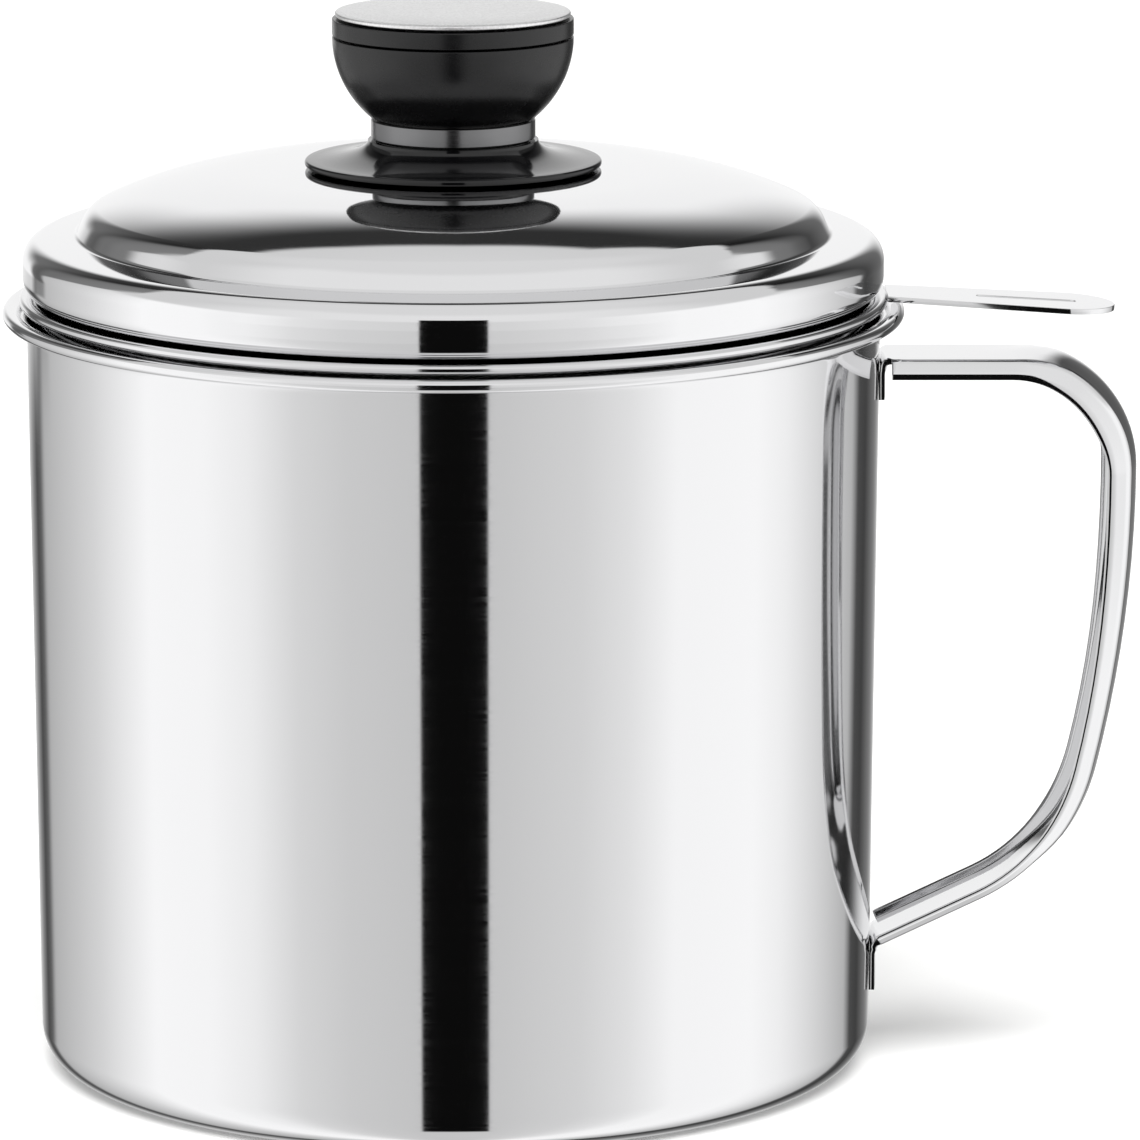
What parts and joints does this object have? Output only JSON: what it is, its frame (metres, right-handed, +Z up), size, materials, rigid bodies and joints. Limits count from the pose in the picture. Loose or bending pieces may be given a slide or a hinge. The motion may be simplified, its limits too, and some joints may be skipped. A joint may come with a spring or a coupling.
{
  "type": "bacon grease container",
  "caption": "Round steel pot with a strap handle, a lift-out strainer with a tongue handle, and a domed lid with a black screwed knob.",
  "frame": {"origin": "centre of the pot's flat underside, on the common axis of pot, strainer, lid and knob", "axes": "+Z up along the pot's axis, +X towards the strap handle and the strainer's tongue"},
  "size_m": [0.1598, 0.1268, 0.1504],
  "materials": {
    "pot_steel": "mirror-polished stainless steel",
    "strap_steel": "polished stainless steel strip",
    "strainer_steel": "polished stainless steel",
    "screen_steel": "satin punched stainless steel",
    "lid_steel": "mirror-polished stainless steel",
    "black_phenolic": "semi-gloss moulded phenolic",
    "collar_steel": "dark polished steel",
    "cap_steel": "satin steel disc",
    "insert_brass": "turned brass",
    "fastener_steel": "zinc-plated steel"
  },
  "bodies": {
    "pot": {"pot_body": "pot_steel", "pot_handle": "strap_steel"},
    "strainer": {"strainer_bowl": "strainer_steel", "strainer_screen": "screen_steel", "strainer_tab": "strainer_steel"},
    "lid": {"lid_shell": "lid_steel", "knob_flange": "black_phenolic", "knob_collar": "collar_steel", "knob_grip": "black_phenolic", "knob_top_ring": "black_phenolic", "knob_cap": "cap_steel", "knob_insert": "insert_brass", "lid_screw": "fastener_steel", "flat_washer": "fastener_steel", "spring_washer": "fastener_steel"}
  },
  "joints": [
    {"name": "strainer_lift", "type": "slide", "parent": "pot", "child": "strainer", "axis": [0, 0, 1], "range_m": [0, 0.05]},
    {"name": "lid_lift", "type": "slide", "parent": "strainer", "child": "lid", "axis": [0, 0, 1], "range_m": [0, 0.05]}
  ]
}
